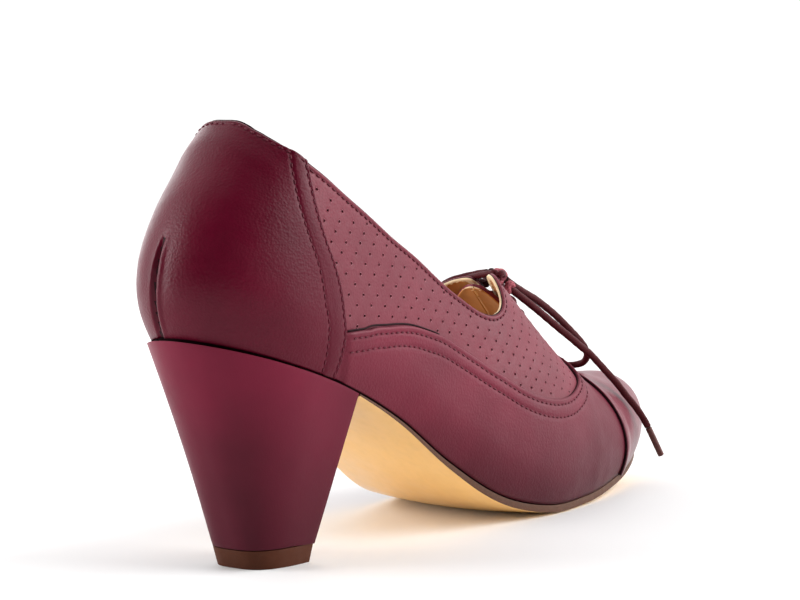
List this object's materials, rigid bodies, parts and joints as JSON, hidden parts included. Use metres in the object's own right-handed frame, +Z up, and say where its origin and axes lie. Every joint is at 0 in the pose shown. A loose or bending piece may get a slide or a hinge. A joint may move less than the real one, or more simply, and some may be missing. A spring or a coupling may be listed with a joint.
{
  "type": "lace-up shoe",
  "caption": "Right-foot lace-up shoe on a tapered block heel: hollow upper with perforated quarters, counter, vamp, toe cap, tongue, insole and a loose bow lace.",
  "frame": {"origin": "middle of the shoe's own box (laces left out) on the floor it stands on", "axes": "+X to the toe along the shoe's length, -Y to the lateral (outer) side, +Z up"},
  "size_m": [0.2444, 0.0778, 0.1296],
  "materials": {
    "quarter_leather": "smooth burgundy leather, satin, punched with small holes",
    "vamp_leather": "smooth burgundy leather, satin",
    "counter_leather": "dark burgundy leather, polished",
    "cap_leather": "smooth burgundy leather, polished",
    "tongue_leather": "burgundy leather, lined in tan",
    "heel_cover": "smooth burgundy heel cover, satin",
    "lift_rubber": "brown rubber, matt",
    "sole_leather": "tan sole leather, varnished",
    "insole_leather": "tan lining leather, matt",
    "waxed_lace": "round waxed cotton lace, dark burgundy brown",
    "lace_tip": "sealed lace tip, dull"
  },
  "bodies": {
    "root": {"outsole": "sole_leather", "heel": "heel_cover", "top_lift": "lift_rubber", "insole": "insole_leather", "upper": "quarter_leather", "vamp": "vamp_leather", "counter": "counter_leather", "toe_cap": "cap_leather", "tongue": "tongue_leather", "lace_bars": "waxed_lace", "lace_knot": "waxed_lace", "lace_loop_lateral": "waxed_lace", "lace_loop_medial": "waxed_lace", "lace_end_lateral": "waxed_lace", "lace_end_medial": "waxed_lace", "aglet_lateral": "lace_tip", "aglet_medial": "lace_tip"}
  },
  "joints": []
}
